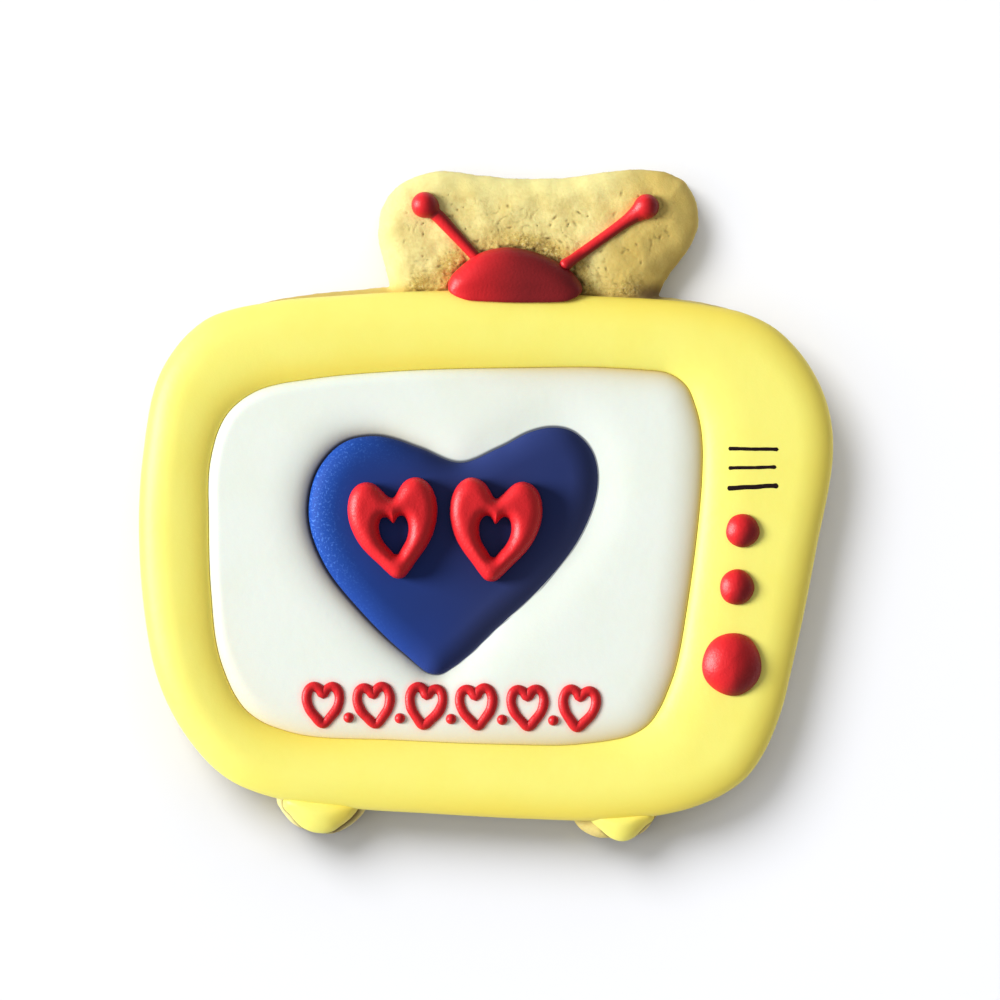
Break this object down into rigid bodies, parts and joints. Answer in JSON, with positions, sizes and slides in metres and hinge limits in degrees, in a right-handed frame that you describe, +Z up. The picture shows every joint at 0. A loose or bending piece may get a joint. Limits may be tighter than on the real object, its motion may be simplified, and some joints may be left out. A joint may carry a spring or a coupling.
{
  "type": "iced sugar cookie",
  "caption": "Sugar cookie cut and iced as an old television set: yellow cabinet, white screen with a blue heart, red knobs and aerials. It lies flat, decorated side up.",
  "frame": {"origin": "on the resting plane, under the middle of the whole cookie", "axes": "+Z up out of the decorated face, +Y towards the end with the aerials, +X towards the side with the knobs"},
  "size_m": [0.0972, 0.0942, 0.0124],
  "materials": {
    "biscuit": "pale baked dough, matt, with small pits and soft lumps",
    "yellow_icing": "dried royal icing, smooth, soft satin sheen",
    "white_icing": "dried royal icing, smooth, soft satin sheen",
    "blue_icing": "dried royal icing, deep blue, satin with a fine crust near its edge",
    "red_icing": "dried royal icing, red, satin",
    "food_pen": "thin lines of black food colour, matt"
  },
  "bodies": {
    "root": {"biscuit": "biscuit", "yellow_icing": "yellow_icing", "white_icing": "white_icing", "blue_heart": "blue_icing", "aerial_base": "red_icing", "foot_icing_left": "yellow_icing", "foot_icing_right": "yellow_icing", "red_heart_left": "red_icing", "red_heart_right": "red_icing", "knob_top": "red_icing", "knob_middle": "red_icing", "knob_large": "red_icing", "aerial_left": "red_icing", "aerial_right": "red_icing"}
  },
  "joints": []
}
